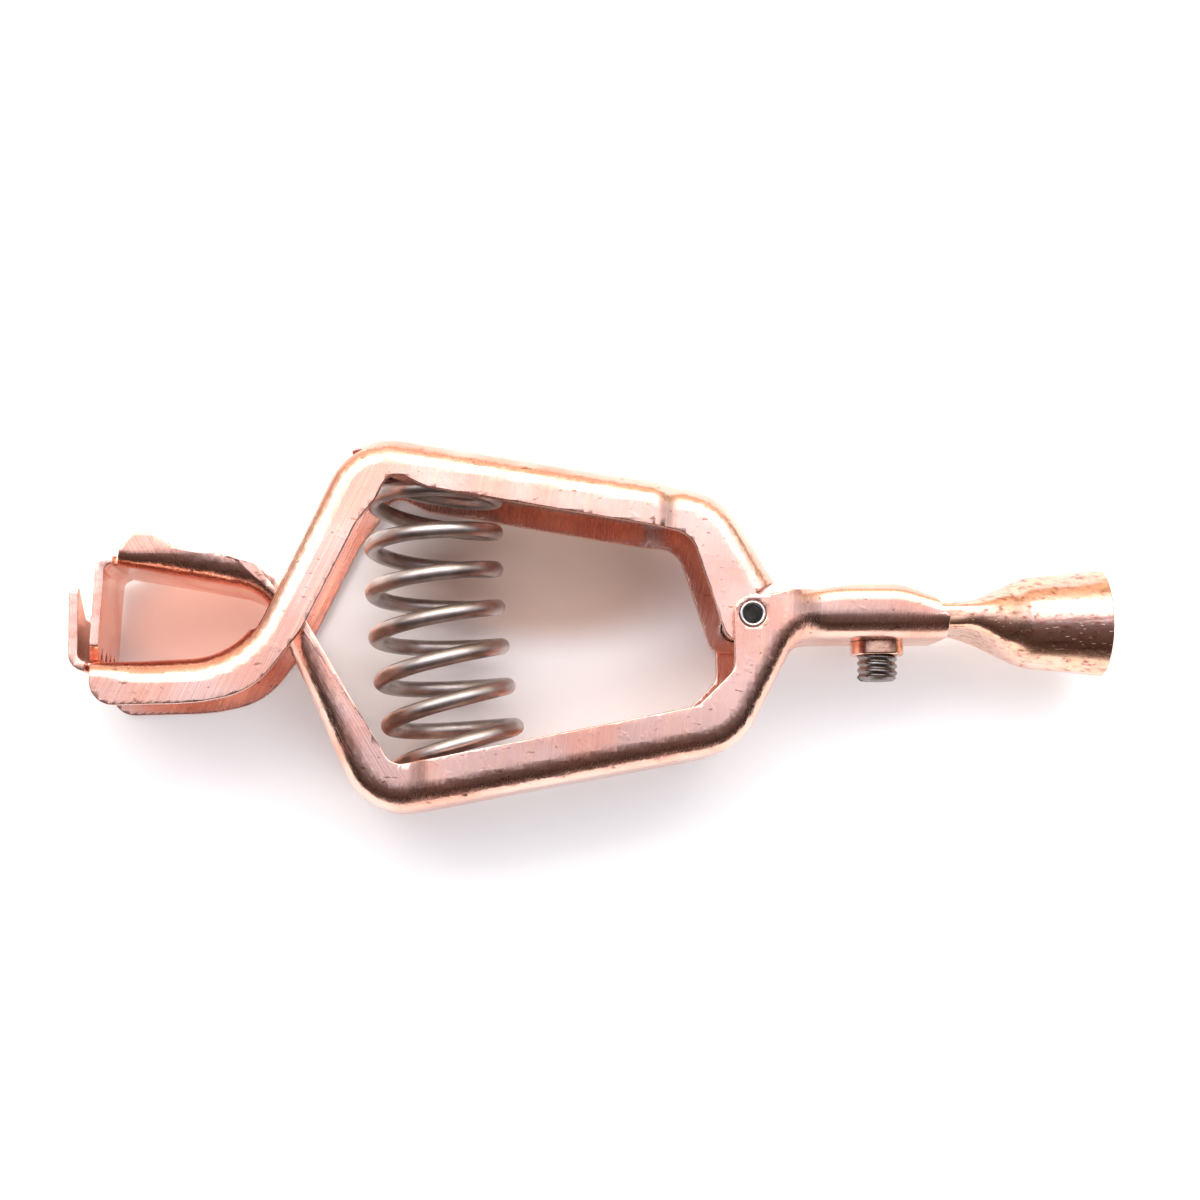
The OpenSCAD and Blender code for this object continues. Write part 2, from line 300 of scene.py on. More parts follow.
def channel(name, face, edge, side, flange_from, materials):
    """A channel of sheet: a web along the face line, rounded bends, and flanges out to the edge line.

    The flanges lie to the left of the face line when side is 1 and to its right when side is -1. The sheet
    before x = flange_from is a flat plate, and a slit parts the bends and flanges from it.
    """
    line = resampled(rounded(face), 0.9)
    past = int(np.argmax(line[:, 0] > flange_from))
    ahead = unit(line[past] - line[past - 1])
    start = line[past] - ahead * (line[past][0] - flange_from) / ahead[0]
    plate = [p for p in line[:past] if np.linalg.norm(start - p) > 1.5 * SLIT]
    line = np.array([*plate, start - ahead * SLIT, start, *line[past:]])
    past = len(plate) + 1
    inward = inward_normals(line, side)
    course = np.concatenate([[0], np.cumsum(np.linalg.norm(np.diff(line, axis=0), axis=1))])
    grown = smooth(course, course[past], course[past] + BEND_GROWS)
    radius = BEND_R_AT_JAW + (BEND_R - BEND_R_AT_JAW) * grown

    # Each row of points runs across the sheet: a bend, the web, the other bend.
    bend_steps, web_steps = 8, 14
    wide = 2 * (bend_steps + 1) + web_steps - 1
    turn = np.linspace(0, math.pi / 2, bend_steps + 1)
    rise = np.linspace(0, 1, bend_steps + 1)
    verts = []
    for i, (point, normal, r) in enumerate(zip(line, inward, radius)):
        if i < past:
            inset, z = 0 * turn, HALF_W - r * rise
        else:
            inset, z = r * (1 - np.sin(turn)), HALF_W - r * (1 - np.cos(turn))
        web = np.linspace(r - HALF_W, HALF_W - r, web_steps + 1)[1:-1]
        row = list(zip(inset, -z)) + [(0, w) for w in web] + list(zip(inset, z))[::-1]
        verts += [(*(point + normal * n), w) for n, w in row]
    faces = [(r * wide + c, r * wide + c + 1, (r + 1) * wide + c + 1, (r + 1) * wide + c)
             for r in range(len(line) - 1) for c in range(wide - 1)
             if r != past - 1 or bend_steps <= c < wide - 1 - bend_steps]

    inset_line = line[past:] + inward[past:] * radius[past:, None]
    ends = [(*inset_line[-1], 0)] + list(edge) + [(*inset_line[0], 0)]
    edge_line = resampled(rounded(ends), 1.2)[1:-1]
    for z, column in ((-HALF_W, 0), (HALF_W, wide - 1)):
        first = len(verts)
        verts += [(x, y, z) for x, y in edge_line]
        bend_side = [r * wide + column for r in range(past, len(line))]
        faces.append((*bend_side, *range(first, first + len(edge_line))))

    piece = new_object(name, verts, faces, materials)
    outward(piece)
    highest = max(piece.data.polygons, key=lambda p: p.center.z)
    if highest.normal.z < 0:
        piece.data.flip_normals()
    thick = piece.modifiers.new("thick", "SOLIDIFY")
    thick.thickness, thick.offset = SHEET * MM, -1
    thick.use_even_offset, thick.thickness_clamp = True, 0
    thick.material_offset_rim = 1
    apply_modifiers(piece)
    return piece


def half_width_along(x, plan):
    """The arm's half-width at x, from (x, half-width) points joined by smooth steps."""
    width = np.full_like(x, plan[0][1])
    for (low, before), (high, after) in zip(plan[:-1], plan[1:]):
        width += (after - before) * smooth(x, low, high)
    return width


def narrowed(co, plan):
    """Moves the flanges inwards to the half-widths of the plan, and the web with them."""
    half = half_width_along(co[:, 0], plan)
    z, reach = co[:, 2], np.abs(co[:, 2])
    web_half = HALF_W - BEND_R
    in_web = reach < web_half
    co[:, 2] = np.where(in_web, z * (half - BEND_R) / web_half, np.sign(z) * (reach - (HALF_W - half)))
    return co


def folded(co):
    """Folds the flanges of the shank over towards the middle, and shapes the shank's top."""
    middle_r = FOLD_R - SHEET / 2
    x, y, z = co[:, 0], co[:, 1], co[:, 2]
    half = half_width_along(x, LOWER_PLAN)
    full_turn = math.pi / 2 * smooth(x, *FOLD_SPAN)
    past = y - FOLD_LINE
    angle = np.clip(past / middle_r, 0, full_turn)
    straight = past - angle * middle_r
    depth = half - np.abs(z)
    radius = FOLD_R - depth
    folds = (past > 0) & (x > FOLD_SPAN[0] - 0.5) & (depth < SHEET + 0.1)
    new_y = FOLD_LINE + radius * np.sin(angle) + straight * np.cos(angle)
    new_z = np.sign(z) * (half - FOLD_R + radius * np.cos(angle) - straight * np.sin(angle))
    # The folded flanges bulge a little over the cable, then rise along the shank and drop towards its end.
    hump = 0.5 * smooth(x, 14, 18) * (1 - smooth(x, 25, 28)) * smooth(half - np.abs(new_z), 0.8, 3.5)
    co[:, 1] = np.where(folds, new_y + hump, y)
    co[:, 2] = np.where(folds, new_z, z)
    lift = 0.9 * smooth(x, 7, 15) - 2.0 * smooth(x, 22, 31.5)
    co[:, 1] += lift * smooth(co[:, 1], -0.8, 2.0) * (x > 7)
    return co


def upper_arm(copper, cut_copper):
    """The arm with the slotted leg, the lower jaw and the two-pronged lip."""
    arm = channel("upper_arm_sheet", UPPER_FACE, UPPER_EDGE, -1, UPPER_START, [copper, cut_copper])
    inner = HALF_W - SHEET
    slot_outline = [
        (-80, SLOT_LOW_Y), (-69, SLOT_LOW_Y), (-68, SLOT_LOW_Y + 1),
        (-57.5, SLOT_HIGH_Y - 3), (-57.5, SLOT_HIGH_Y), (-80, SLOT_HIGH_Y),
    ]
    wide, bottom = HALF_W - PRONG_W, LIP_TOP - LIP_NOTCH_DEEP
    notch_outline = [
        (-wide, LIP_TOP + 1), (wide, LIP_TOP + 1), (wide, LIP_TOP),
        (LIP_NOTCH_HALF, bottom), (-LIP_NOTCH_HALF, bottom), (-wide, LIP_TOP),
    ]
    carve(arm, [
        round_cutter(RIVET_R + RIVET_PLAY),
        prism(slot_outline, -inner, inner),
        prism(notch_outline, LIP_FOOT[0] - 4, LIP_FOOT[0] + 2, axis="x"),
    ])
    ease_edges(arm, EASE)
    grid_cuts(arm, GRID, [(-102, 5), (-14, 28)])
    grid_cuts(arm, FINE_GRID, [(-15.0, -10.2), (0, 0)])
    reshape(arm, lambda co: narrowed(co, UPPER_PLAN))
    ripple(arm, RIPPLE, 9, seed=1)
    shade(arm)
    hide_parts("upper_arm")
    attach(arm, "upper_arm_body")


def lower_arm(copper, cut_copper):
    """The arm with the toothed upper jaw, the narrow leg and the shank folded over the socket's tail."""
    arm = channel("lower_arm_sheet", LOWER_FACE, LOWER_EDGE, 1, LOWER_START, [copper, cut_copper])
    plate_x, plate_y = PLATE_TIP
    half_pitch = HALF_W / TOOTH_COUNT
    gaps = []
    for i in range(TOOTH_COUNT + 1):
        z = -HALF_W + 2 * half_pitch * i
        gap = [(z - half_pitch, plate_y - 0.5), (z + half_pitch, plate_y - 0.5), (z, plate_y + TOOTH_H)]
        gaps.append(prism(gap, plate_x - 4.6, plate_x + 3.4, axis="x"))
    carve(arm, [round_cutter(RIVET_R), *gaps])
    ease_edges(arm, EASE)
    grid_cuts(arm, GRID, [(-100, 32), (-31, 14)])
    grid_cuts(arm, FINE_GRID, [(-52.6, -47.4), (FOLD_LINE, FOLD_LINE + 3)])
    reshape(arm, lambda co: folded(narrowed(co, LOWER_PLAN)))
    ripple(arm, RIPPLE, 9, seed=2)
    shade(arm)
    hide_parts("lower_arm")
    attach(arm, "lower_arm_body")


# ---------------------------------------------------------------- spring

WIRE_R = 1.27
COIL_R = 9.5                    # from the coil's axis to the middle of the wire
ACTIVE_TURNS = 6.5              # one closed turn at each end comes on top
SPRING_START = 60               # degrees round the coil at which the wire starts
TOP_SEAT_X = -47.0
LOW_SEAT_X = -42.4
SEAT_GAP = 0.45                 # clearance between the end coils and the webs
MIDDLE_TILT = math.radians(18)  # how much more the coils lean between the seats than on them


def seat_on(a, b, x, side):
    """Middle of the end coil that lies inside the web between corners a and b, and the web's slope."""
    along = unit(np.array(b[:2]) - np.array(a[:2]))
    on_face = np.array(a[:2]) + along * (x - a[0]) / along[0]
    left = np.array([-along[1], along[0]])
    return on_face + left * side * (SHEET + WIRE_R + SEAT_GAP), math.atan2(along[1], along[0])


def tube(points, radius, sides):
    """Rings of points round a line of points."""
    points = np.array(points)
    along = np.gradient(points, axis=0)
    along /= np.linalg.norm(along, axis=1)[:, None]
    side = np.cross(along, [0, 1, 0])
    side /= np.linalg.norm(side, axis=1)[:, None]
    up = np.cross(side, along)
    turn = np.linspace(0, math.tau, sides, endpoint=False)
    rings = points[:, None] + radius * (side[:, None] * np.cos(turn)[None, :, None]
                                        + up[:, None] * np.sin(turn)[None, :, None])
    return rings


def tube_faces(rings, sides):
    """Faces between the rings of a tube, then its two end caps."""
    faces = [(i * sides + k, i * sides + (k + 1) % sides,
              (i + 1) * sides + (k + 1) % sides, (i + 1) * sides + k)
             for i in range(rings - 1) for k in range(sides)]
    faces.append(tuple(range(sides)))
    faces.append(tuple(range(rings * sides - 1, (rings - 1) * sides - 1, -1)))
    return faces


def coil_spring(material):
    """The wire: each turn leans between the slopes of the two webs, and the coil's axis bows to match."""
    top, top_tilt = seat_on(UPPER_FACE[3], UPPER_FACE[4], TOP_SEAT_X, -1)
    low, low_tilt = seat_on(LOWER_FACE[3], LOWER_FACE[4], LOW_SEAT_X, 1)
    distance = np.linalg.norm(low - top)
    bow = math.tan((low_tilt - top_tilt) / 2) * distance
    turns, closed = ACTIVE_TURNS + 2, 2 * WIRE_R / distance
    line = []
    points_in_turn, sides = 40, 16
    for turn in np.arange(0, turns + 1e-6, 1 / points_in_turn):
        share = np.interp(turn, [0, 1, turns - 1, turns], [0, closed, 1 - closed, 1])
        tilt = top_tilt + (low_tilt - top_tilt) * share + MIDDLE_TILT * share * (1 - share)
        angle = math.radians(SPRING_START) + math.tau * turn
        out = COIL_R * math.cos(angle)
        x, y = top + (low - top) * share - np.array([bow * share * (1 - share), 0])
        line.append((x + out * math.cos(tilt), y + out * math.sin(tilt), COIL_R * math.sin(angle)))
    rings = tube(line, WIRE_R, sides)
    spring = new_object("spring_coil", rings.reshape(-1, 3), tube_faces(len(rings), sides), [material])
    outward(spring)
    ease_edges(spring, 0.15, angle=60)
    shade(spring)
    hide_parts("spring")
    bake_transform(spring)


# ---------------------------------------------------------------- turned pieces

def lathe(name, profile, place, sides, materials):
    """A closed outline of (radius, length) points, turned about an axis.

    place(radius, length, angle) gives each point in space.
    """
    count = len(profile)
    verts = [place(r, d, math.tau * k / sides) for k in range(sides) for r, d in profile]
    faces = [(k * count + i, k * count + (i + 1) % count,
              (k + 1) % sides * count + (i + 1) % count, (k + 1) % sides * count + i)
             for k in range(sides) for i in range(count)]
    piece = new_object(name, verts, faces, materials)
    outward(piece)
    return piece


def rivet(material):
    """A tube whose rims are rounded inside and out."""
    bore = 1.42
    rim = [(RIVET_R, HALF_W - 0.25), (RIVET_R - 0.07, HALF_W - 0.05), (RIVET_R - 0.17, HALF_W),
           (bore + 0.22, HALF_W), (bore + 0.06, HALF_W - 0.08), (bore, HALF_W - 0.3)]
    profile = rim + [(r, -d) for r, d in reversed(rim)]
    about_rivet = lambda r, d, a: (r * math.cos(a), r * math.sin(a), d)
    piece = lathe("pivot_tube", profile, about_rivet, 64, [material])
    shade(piece, 60)
    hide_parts("pivot_rivet")
    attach(piece, "lower_arm_body")


SCREW_X = 21.1
SCREW_TIP_Y = -0.4              # height of the screw's inner end, which presses on the cable
SCREW_R = 3.1
SCREW_LEN = 8.8
COLLAR_R = 4.15
COLLAR_H = 2.1


def about_screw(r, d, a):
    """A point at radius r and angle a, d below the screw's tip."""
    return (SCREW_X + r * math.cos(a), SCREW_TIP_Y - d, r * math.sin(a))


def collar(material):
    """The raised ring on the shank that the screw is threaded through."""
    inner, ease = SCREW_R + 0.1, 0.3
    high = SCREW_TIP_Y - SHANK_Y
    low = high + COLLAR_H
    profile = [(inner, high), (COLLAR_R, high), (COLLAR_R, low - ease),
               (COLLAR_R - ease * 0.3, low - ease * 0.3), (COLLAR_R - ease, low),
               (inner + 0.15, low), (inner, low - 0.15)]
    piece = lathe("collar_ring", profile, about_screw, 64, [material])
    shade(piece, 50)
    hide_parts("screw_collar")
    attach(piece, "lower_arm_body")


def set_screw(material):
    """A headless screw: a thread, a chamfer at each end and a driver slot."""
    pitch, depth, chamfer, sides, rows_in_pitch = 1.1, 0.3, 0.5, 64, 14
    rows = int(SCREW_LEN / pitch * rows_in_pitch)
    verts = []
    for i in range(rows + 1):
        d = SCREW_LEN * i / rows
        limit = SCREW_R - 0.5 + min(d, SCREW_LEN - d) * 0.5 / chamfer
        for k in range(sides):
            # The phase runs from crest to crest of the thread.
            phase = (d / pitch + k / sides) % 1
            groove = np.interp(phase, [0, 0.12, 0.44, 0.56, 0.88, 1], [0, 0, 1, 1, 0, 0])
            verts.append(about_screw(min(SCREW_R - depth * groove, limit), d, math.tau * k / sides))
    piece = new_object("set_screw_body", verts, tube_faces(rows + 1, sides), [material])
    outward(piece)
    slot_half, slot_deep, reach = 0.5, 1.1, SCREW_R + 0.9
    end = SCREW_TIP_Y - SCREW_LEN
    slot = [(-slot_half, end - 1), (slot_half, end - 1),
            (slot_half, end + slot_deep), (-slot_half, end + slot_deep)]
    carve(piece, [prism(slot, SCREW_X - reach, SCREW_X + reach, axis="x")])
    shade(piece, 35)
    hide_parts("set_screw")
    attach(piece, "screw_body")


# ---------------------------------------------------------------- cable socket

CABLE_Y = -0.2                  # height of the mouth's axis
TAIL_Y = 0.35                   # height of the flattened tail's middle
SOCKET_WALL = 1.1
SOCKET_ENDS = (26.5, 56.7)      # the tail's end and the mouth
NECK_END = 44.4                 # where the neck turns into the flared mouth
CREASE_H = 0.35
# Along the socket: (x, half-height, half-width, how square the section is).
SOCKET_SECTIONS = [
    (26.5, 1.95, 8.2, 8.0), (31.2, 2.0, 8.3, 8.0), (32.8, 2.15, 8.6, 6.0), (34.0, 2.35, 9.2, 4.5),
    (35.4, 2.7, 9.3, 3.8), (36.8, 3.3, 9.2, 3.2), (38.8, 4.4, 8.8, 2.6), (40.8, 5.5, 8.3, 2.25),
    (42.6, 6.4, 7.7, 2.05), (44.4, 7.12, 7.15, 2.0), (50.0, 7.6, 7.6, 2.0), (56.7, 8.4, 8.4, 2.0),
]


def cable_socket(copper, cut_copper):
    """A tube pressed flat at its tail, creased at its neck and flared at its mouth."""
    table = np.array(SOCKET_SECTIONS)
    sides = 96
    tail, mouth = SOCKET_ENDS
    rows = np.concatenate([np.arange(tail, NECK_END, 0.6), np.arange(NECK_END, mouth - 0.1, 0.8), [mouth]])
    verts = []
    for x in rows:
        tall, wide, square = (np.interp(x, table[:, 0], table[:, i]) for i in (1, 2, 3))
        middle = TAIL_Y + (CABLE_Y - TAIL_Y) * smooth(x, 34, 44)
        crease = CREASE_H * smooth(x, 33.5, 36.5) * (1 - smooth(x, 39.5, 44.0))
        for k in range(sides):
            angle = math.tau * k / sides
            c, s = math.cos(angle), math.sin(angle)
            radius = (abs(c / tall) ** square + abs(s / wide) ** square) ** (-1 / square)
            # The crease is a ridge in each of the four corners of the neck.
            radius += crease * math.exp(-((abs(s) * radius / wide - 0.80) / 0.10) ** 2)
            verts.append((x, middle + radius * c, radius * s))
    open_faces = tube_faces(len(rows), sides)[:-2]
    piece = new_object("socket_tube", verts, open_faces, [copper, cut_copper])
    thick = piece.modifiers.new("thick", "SOLIDIFY")
    thick.thickness, thick.offset, thick.material_offset_rim = SOCKET_WALL * MM, -1, 1
    apply_modifiers(piece)
    far = 99
    reshape(piece, lambda co: np.clip(co, (tail, -far, -far), (mouth, far, far)))
    ease_edges(piece, 0.25, angle=55)
    ripple(piece, 0.07, 5, seed=3)
    shade(piece, 60)
    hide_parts("cable_socket")
    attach(piece, "lower_arm_body")


# ---------------------------------------------------------------- materials

def put(tree, kind, values, **settings):
    """Adds a node, sets its options, and gives each input a value or a link."""
    made = tree.nodes.new(kind)
    for key, value in settings.items():
        setattr(made, key, value)
    for key, value in values.items():
        if isinstance(value, bpy.types.NodeSocket):
            tree.links.new(value, made.inputs[key])
        else:
            made.inputs[key].default_value = value
    return made


def noise_at(tree, coords, size_mm, angle=0.0, detail=3.0, seed=0.0):
    """Noise whose features are about size_mm long on each axis, turned about Z by the angle in degrees."""
    place = put(tree, "ShaderNodeMapping", {
        "Vector": coords, "Location": (seed, seed * 0.7, 0), "Rotation": (0, 0, math.radians(angle)),
        "Scale": [v * MM for v in size_mm],
    }, vector_type="TEXTURE")
    made = put(tree, "ShaderNodeTexNoise", {"Vector": place.outputs[0], "Scale": 1.0, "Detail": detail})
    return made.outputs[0]


def ranged(tree, value, low, high, out_low=0.0, out_high=1.0):
    """The value taken smoothly from the range low to high into the range out_low to out_high."""
    return put(tree, "ShaderNodeMapRange", {
        "Value": value, "From Min": low, "From Max": high, "To Min": out_low, "To Max": out_high,
    }, interpolation_type="SMOOTHSTEP").outputs[0]


def math_node(tree, operation, a, b=0.0):
    """The result of a Math node."""
    return put(tree, "ShaderNodeMath", {0: a, 1: b}, operation=operation).outputs[0]


def blended(tree, factor, a, b):
    """Colour a where the factor is 0 and colour b where it is 1."""
    return put(tree, "ShaderNodeMix", {0: factor, 6: a, 7: b}, data_type="RGBA").outputs[2]


def metal(name):
    """A new metal material: its node tree, its shader and its object coordinates."""
    material = bpy.data.materials.new(name)
    material.use_nodes = True
    tree = material.node_tree
    shader = tree.nodes["Principled BSDF"]
    shader.inputs["Metallic"].default_value = 1.0
    coords = put(tree, "ShaderNodeTexCoord", {}).outputs["Object"]
    return material, tree, shader, coords


def bumped(tree, shader, layers):
    """Stacks (height, depth in mm) layers of relief on the shader."""
    normal = None
    for height, depth in layers:
        values = {"Height": height, "Strength": 1.0, "Distance": depth * MM}
        if normal:
            values["Normal"] = normal
        normal = put(tree, "ShaderNodeBump", values).outputs[0]
    tree.links.new(normal, shader.inputs["Normal"])


# Colours of clean, worn, golden and tarnished copper.
PINK = (0.95, 0.62, 0.52, 1)
ROSE = (0.87, 0.46, 0.36, 1)
GOLD = (0.95, 0.62, 0.42, 1)
TARNISH = (0.34, 0.14, 0.085, 1)


def sheet_copper(name, grain_angles, split_x):
    """Drawn copper sheet: fine lines along the metal, soft wrinkles, blotches and a few tarnished specks.

    The lines run at the first grain angle left of split_x and at the second angle right of it.
    """
    material, tree, shader, coords = metal(name)
    x = put(tree, "ShaderNodeSeparateXYZ", {0: coords}).outputs[0]
    right = ranged(tree, x, (split_x - 3) * MM, (split_x + 3) * MM)
    lines = []
    for size in ((14, 0.16, 0.16), (22, 0.7, 0.7)):
        left_lines = noise_at(tree, coords, size, grain_angles[0])
        right_lines = noise_at(tree, coords, size, grain_angles[1], seed=0.3)
        lines.append(put(tree, "ShaderNodeMix", {0: right, 2: left_lines, 3: right_lines}).outputs[0])
    fine, broad = lines
    blotch = noise_at(tree, coords, (9, 9, 9), detail=4, seed=0.11)
    wrinkle = noise_at(tree, coords, (2.4, 1.5, 2.4), grain_angles[1] + 62, detail=2, seed=0.23)
    speck = noise_at(tree, coords, (1.6, 0.7, 1.2), detail=3, seed=0.37)
    scratch = noise_at(tree, coords, (9, 0.13, 0.13), grain_angles[1] + 35, detail=1, seed=0.41)

    colour = blended(tree, ranged(tree, blotch, 0.38, 0.66), PINK, ROSE)
    colour = blended(tree, ranged(tree, broad, 0.5, 0.75, 0, 0.55), colour, GOLD)
    colour = blended(tree, ranged(tree, fine, 0.56, 0.8, 0, 0.4), colour, ROSE)
    colour = blended(tree, ranged(tree, speck, 0.66, 0.73, 0, 0.75), colour, TARNISH)
    tree.links.new(colour, shader.inputs["Base Color"])

    rough = math_node(tree, "ADD", ranged(tree, blotch, 0.3, 0.7, 0.16, 0.27),
                      ranged(tree, fine, 0.4, 0.8, 0, 0.12))
    tree.links.new(rough, shader.inputs["Roughness"])
    bumped(tree, shader, [
        (fine, 0.009), (broad, 0.03), (ranged(tree, wrinkle, 0.58, 0.8), 0.010),
        (ranged(tree, scratch, 0.7, 0.76), -0.005),
    ])
    return material


def cut_edge(name):
    """The sheared edge of the sheet, with close lines across its thickness."""
    material, tree, shader, coords = metal(name)
    tone = noise_at(tree, coords, (2, 2, 0.8), detail=4)
    lines = noise_at(tree, coords, (0.12, 6, 6), 8, detail=2)
    colour = blended(tree, ranged(tree, tone, 0.35, 0.7), PINK, ROSE)
    colour = blended(tree, ranged(tree, lines, 0.55, 0.8, 0, 0.5), colour, TARNISH)
    tree.links.new(colour, shader.inputs["Base Color"])
    tree.links.new(ranged(tree, lines, 0.3, 0.8, 0.2, 0.4), shader.inputs["Roughness"])
    bumped(tree, shader, [(lines, 0.03), (tone, 0.05)])
    return material


def socket_copper():
    """Bright tube: rings from forming, brown mottling and streaks, and fine scratches."""
    material, tree, shader, coords = metal("bright_tube")
    rings = noise_at(tree, coords, (0.35, 8, 8), detail=3)
    mottle = noise_at(tree, coords, (1.3, 0.9, 0.9), detail=5, seed=0.19)
    stain = noise_at(tree, coords, (7, 5, 5), detail=4, seed=0.53)
    scratch = noise_at(tree, coords, (11, 0.15, 0.15), 4, detail=1, seed=0.31)
    streak = noise_at(tree, coords, (14, 1.1, 1.1), 2, detail=4, seed=0.77)

    colour = blended(tree, ranged(tree, stain, 0.35, 0.65), PINK, GOLD)
    colour = blended(tree, ranged(tree, mottle, 0.44, 0.6, 0, 0.75), colour, ROSE)
    colour = blended(tree, ranged(tree, streak, 0.56, 0.68, 0, 0.45), colour, TARNISH)
    colour = blended(tree, ranged(tree, mottle, 0.58, 0.68, 0, 0.8), colour, TARNISH)
    tree.links.new(colour, shader.inputs["Base Color"])
    rough = math_node(tree, "ADD", ranged(tree, stain, 0.3, 0.7, 0.15, 0.25),
                      ranged(tree, mottle, 0.5, 0.8, 0, 0.2))
    tree.links.new(rough, shader.inputs["Roughness"])
    bumped(tree, shader, [(rings, 0.012), (mottle, 0.03), (ranged(tree, scratch, 0.7, 0.75), -0.012)])
    return material


def steel(name, bright, dull, rough, grain):
    """Steel with soft duller patches and fine lines; grain is the size of the lines in mm."""
    material, tree, shader, coords = metal(name)
    tint = noise_at(tree, coords, (5, 3, 5), detail=4, seed=0.2)
    lines = noise_at(tree, coords, grain, detail=3, seed=0.6)
    colour = blended(tree, ranged(tree, tint, 0.35, 0.68), bright, dull)
    tree.links.new(colour, shader.inputs["Base Color"])
    tree.links.new(ranged(tree, lines, 0.3, 0.75, rough, rough + 0.16), shader.inputs["Roughness"])
    bumped(tree, shader, [(lines, 0.006), (tint, 0.02)])
    return material


# ---------------------------------------------------------------- build

cut_edge_copper = cut_edge("cut_copper")
bright_tube = socket_copper()
upper_arm(sheet_copper("upper_copper", (64, 82), -56), cut_edge_copper)
lower_arm(sheet_copper("lower_copper", (-60, 84), -54), cut_edge_copper)
coil_spring(steel("drawn_wire", (0.62, 0.57, 0.55, 1), (0.40, 0.35, 0.33, 1), 0.32, (0.3, 2.5, 0.3)))
rivet(steel("bright_steel", (0.86, 0.85, 0.84, 1), (0.62, 0.58, 0.56, 1), 0.18, (0.5, 0.5, 3)))
collar(bright_tube)
set_screw(steel("dark_steel", (0.42, 0.40, 0.39, 1), (0.22, 0.19, 0.18, 1), 0.24, (1.2, 0.3, 1.2)))
cable_socket(bright_tube, cut_edge_copper)


# ---------------------------------------------------------------- camera, floor and light

# Ellipses of painted shade and painted copper bounce light on the floor: middle, half-sizes, the painted
# colour and the painted glow that stands for light thrown back onto it.
PAINTED_FLOOR_GLOWS = [
    ((-30, 9), (32, 14.5), (0.60, 0.44, 0.36, 1), (0.03, 0.03, 0.03, 1)),
    ((-83, 1), (17, 12), (0.93, 0.68, 0.58, 1), (0.36, 0.23, 0.19, 1)),
]
# Light of the room by angle from the zenith, in degrees towards +Y: (angle, colour).
ROOM = [
    (-90, (0.16, 0.11, 0.09)), (-62, (0.05, 0.03, 0.025)), (-25, (0.13, 0.09, 0.08)),
    (-10, (0.20, 0.17, 0.18)), (0, (0.52, 0.50, 0.60)), (7, (1.1, 1.07, 1.22)), (14, (1.9, 1.87, 2.05)),
    (50, (1.9, 1.78, 1.65)), (66, (1.15, 0.9, 0.62)), (90, (0.85, 0.55, 0.34)),
]


def camera_from_above():
    """A long lens nearly straight above the clip, leaning a little towards the jaws and the lower arm."""
    data = bpy.data.cameras.new("camera")
    data.sensor_width, data.lens = 36, 69
    data.clip_start, data.clip_end = 0.01, 10
    camera = bpy.data.objects.new("camera", data)
    bpy.context.scene.collection.objects.link(camera)
    place = Vector((-46.285, -36.907, 354.0)) * MM
    ahead = Vector((0.06766, 0.11318, -0.99127)).normalized()
    rightwards = Vector((0.99768, -0.00771, 0.06722))
    up = rightwards.cross(ahead).normalized()
    right = ahead.cross(up)
    camera.matrix_world = Matrix((
        (right.x, up.x, -ahead.x, place.x), (right.y, up.y, -ahead.y, place.y),
        (right.z, up.z, -ahead.z, place.z), (0, 0, 0, 1),
    ))
    bpy.context.scene.camera = camera


def softbox(name, place, size, strength, colour, in_reflections=True):
    """A rectangular light that faces the origin; its place is in metres and its strength in watts."""
    data = bpy.data.lights.new(name, "AREA")
    data.shape, data.size, data.size_y = "RECTANGLE", size[0], size[1]
    data.energy, data.color = strength, colour
    light = bpy.data.objects.new(name, data)
    light.location = place
    light.rotation_euler = (-Vector(place)).to_track_quat("-Z", "Y").to_euler()
    light.visible_glossy = in_reflections
    bpy.context.scene.collection.objects.link(light)


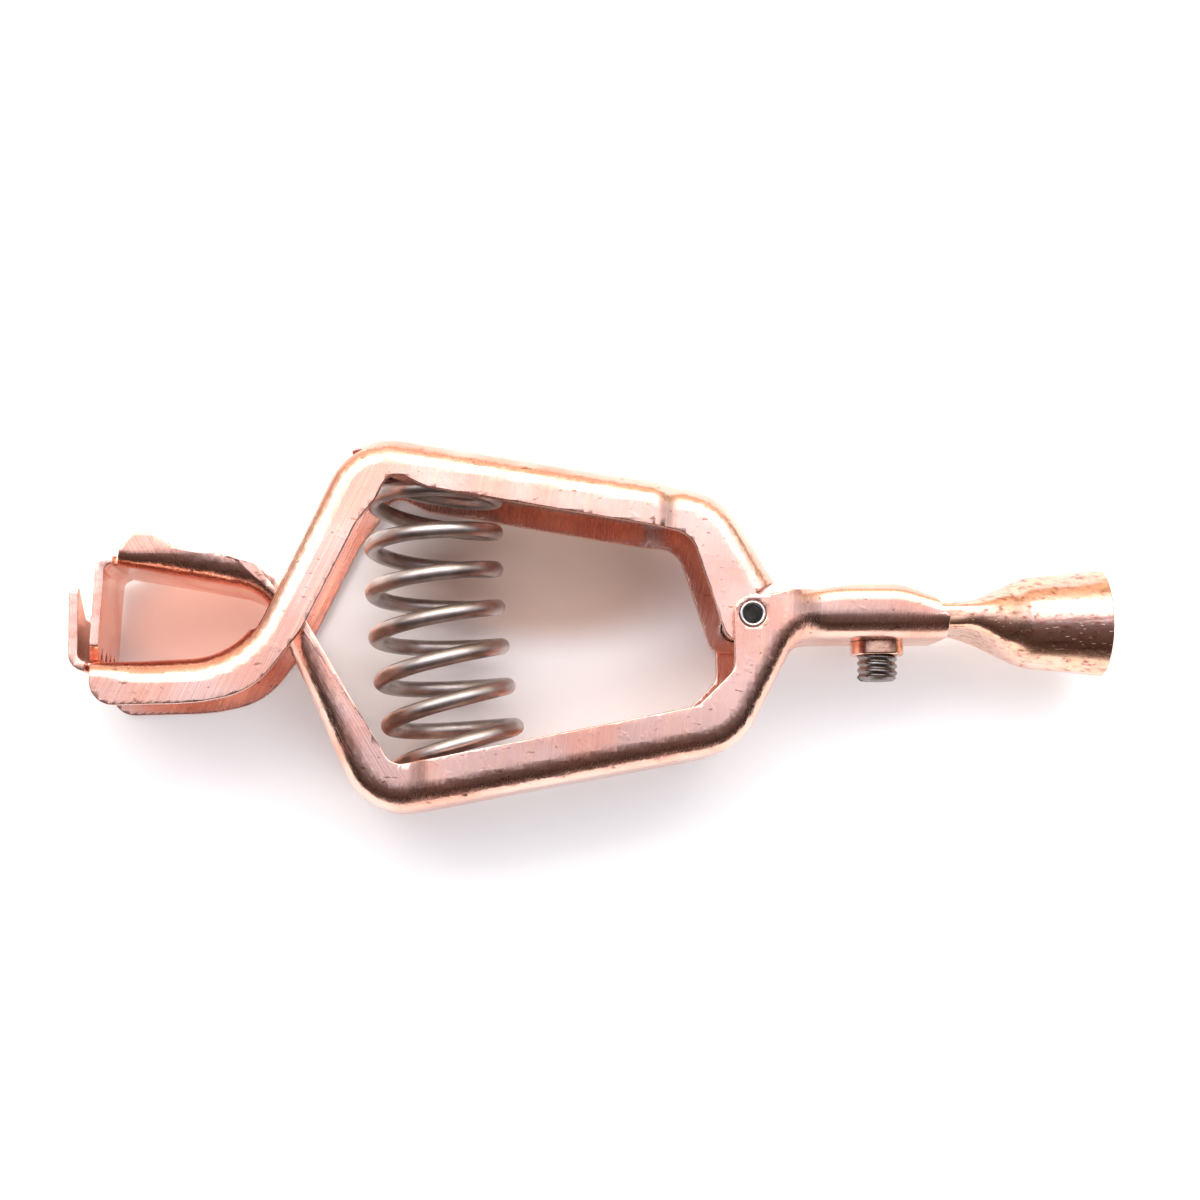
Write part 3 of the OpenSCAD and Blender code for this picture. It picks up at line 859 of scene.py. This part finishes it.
def floor():
    """A white table, with painted shade and a painted glow for the light thrown back from the copper where
    the arms enclose it.
    """
    half, low = 1500, -HALF_W
    material = bpy.data.materials.new("white_floor")
    material.use_nodes = True
    tree = material.node_tree
    shader = tree.nodes["Principled BSDF"]
    shader.inputs["Roughness"].default_value = 0.8
    coords = put(tree, "ShaderNodeTexCoord", {}).outputs["Object"]
    colour = (0.92, 0.92, 0.92, 1)
    even_glow_and_painted_bounce = (0.06, 0.06, 0.06, 1)
    # Each ellipse paints shade and copper-coloured bounce light into the floor's colour, and a painted
    # bounce glow into its emission.
    for (x, y), (wide, tall), tint, painted_bounce_light in PAINTED_FLOOR_GLOWS:
        place = put(tree, "ShaderNodeMapping", {
            "Vector": coords, "Location": (x * MM, y * MM, low * MM), "Scale": (wide * MM, tall * MM, 1),
        }, vector_type="TEXTURE")
        away = put(tree, "ShaderNodeVectorMath", {0: place.outputs[0]}, operation="LENGTH").outputs["Value"]
        painted_shade_and_glow_mask = ranged(tree, away, 0.45, 1.0, 1, 0)
        colour = blended(tree, painted_shade_and_glow_mask, colour, tint)
        even_glow_and_painted_bounce = blended(tree, painted_shade_and_glow_mask, even_glow_and_painted_bounce, painted_bounce_light)
    tree.links.new(colour, shader.inputs["Base Color"])
    tree.links.new(even_glow_and_painted_bounce, shader.inputs["Emission Color"])
    shader.inputs["Emission Strength"].default_value = 1.0
    corners = [(-half, -half, low), (half, -half, low), (half, half, low), (-half, half, low)]
    piece = new_object("floor", corners, [(0, 1, 2, 3)], [material])


def room():
    """A room that is bright overhead, golden low on the far side and dark low on the near side."""
    world = bpy.data.worlds.new("room")
    bpy.context.scene.world = world
    world.use_nodes = True
    tree = world.node_tree
    coords = put(tree, "ShaderNodeTexCoord", {}).outputs["Generated"]
    split = put(tree, "ShaderNodeSeparateXYZ", {0: coords})
    angle = math_node(tree, "ARCTAN2", split.outputs[1], split.outputs[2])
    share = put(tree, "ShaderNodeMapRange", {
        "Value": angle, "From Min": -math.pi / 2, "From Max": math.pi / 2, "To Min": 0.0, "To Max": 1.0,
    }).outputs[0]
    ramp = put(tree, "ShaderNodeValToRGB", {0: share})
    stops = ramp.color_ramp.elements
    while len(stops) < len(ROOM):
        stops.new(0.5)
    brightest = max(max(colour) for _, colour in ROOM)
    for stop, (degrees, colour) in zip(stops, ROOM):
        stop.position = (degrees + 90) / 180
        stop.color = (*[c / brightest for c in colour], 1)
    sideways = math_node(tree, "ABSOLUTE", split.outputs[0])
    strength = ranged(tree, sideways, 0.55, 0.95, brightest, brightest * 0.35)
    back = tree.nodes["Background"]
    tree.links.new(ramp.outputs[0], back.inputs["Color"])
    tree.links.new(strength, back.inputs["Strength"])


floor()
camera_from_above()
softbox("key", (-0.1, 0.60, 0.90), (1.6, 0.5), 7, (1.0, 0.93, 0.85))
softbox("fill", (0.2, -0.7, 1.1), (1.4, 0.9), 12.5, (0.97, 0.98, 1.0), in_reflections=False)
room()
bpy.context.scene.view_settings.view_transform = "Standard"
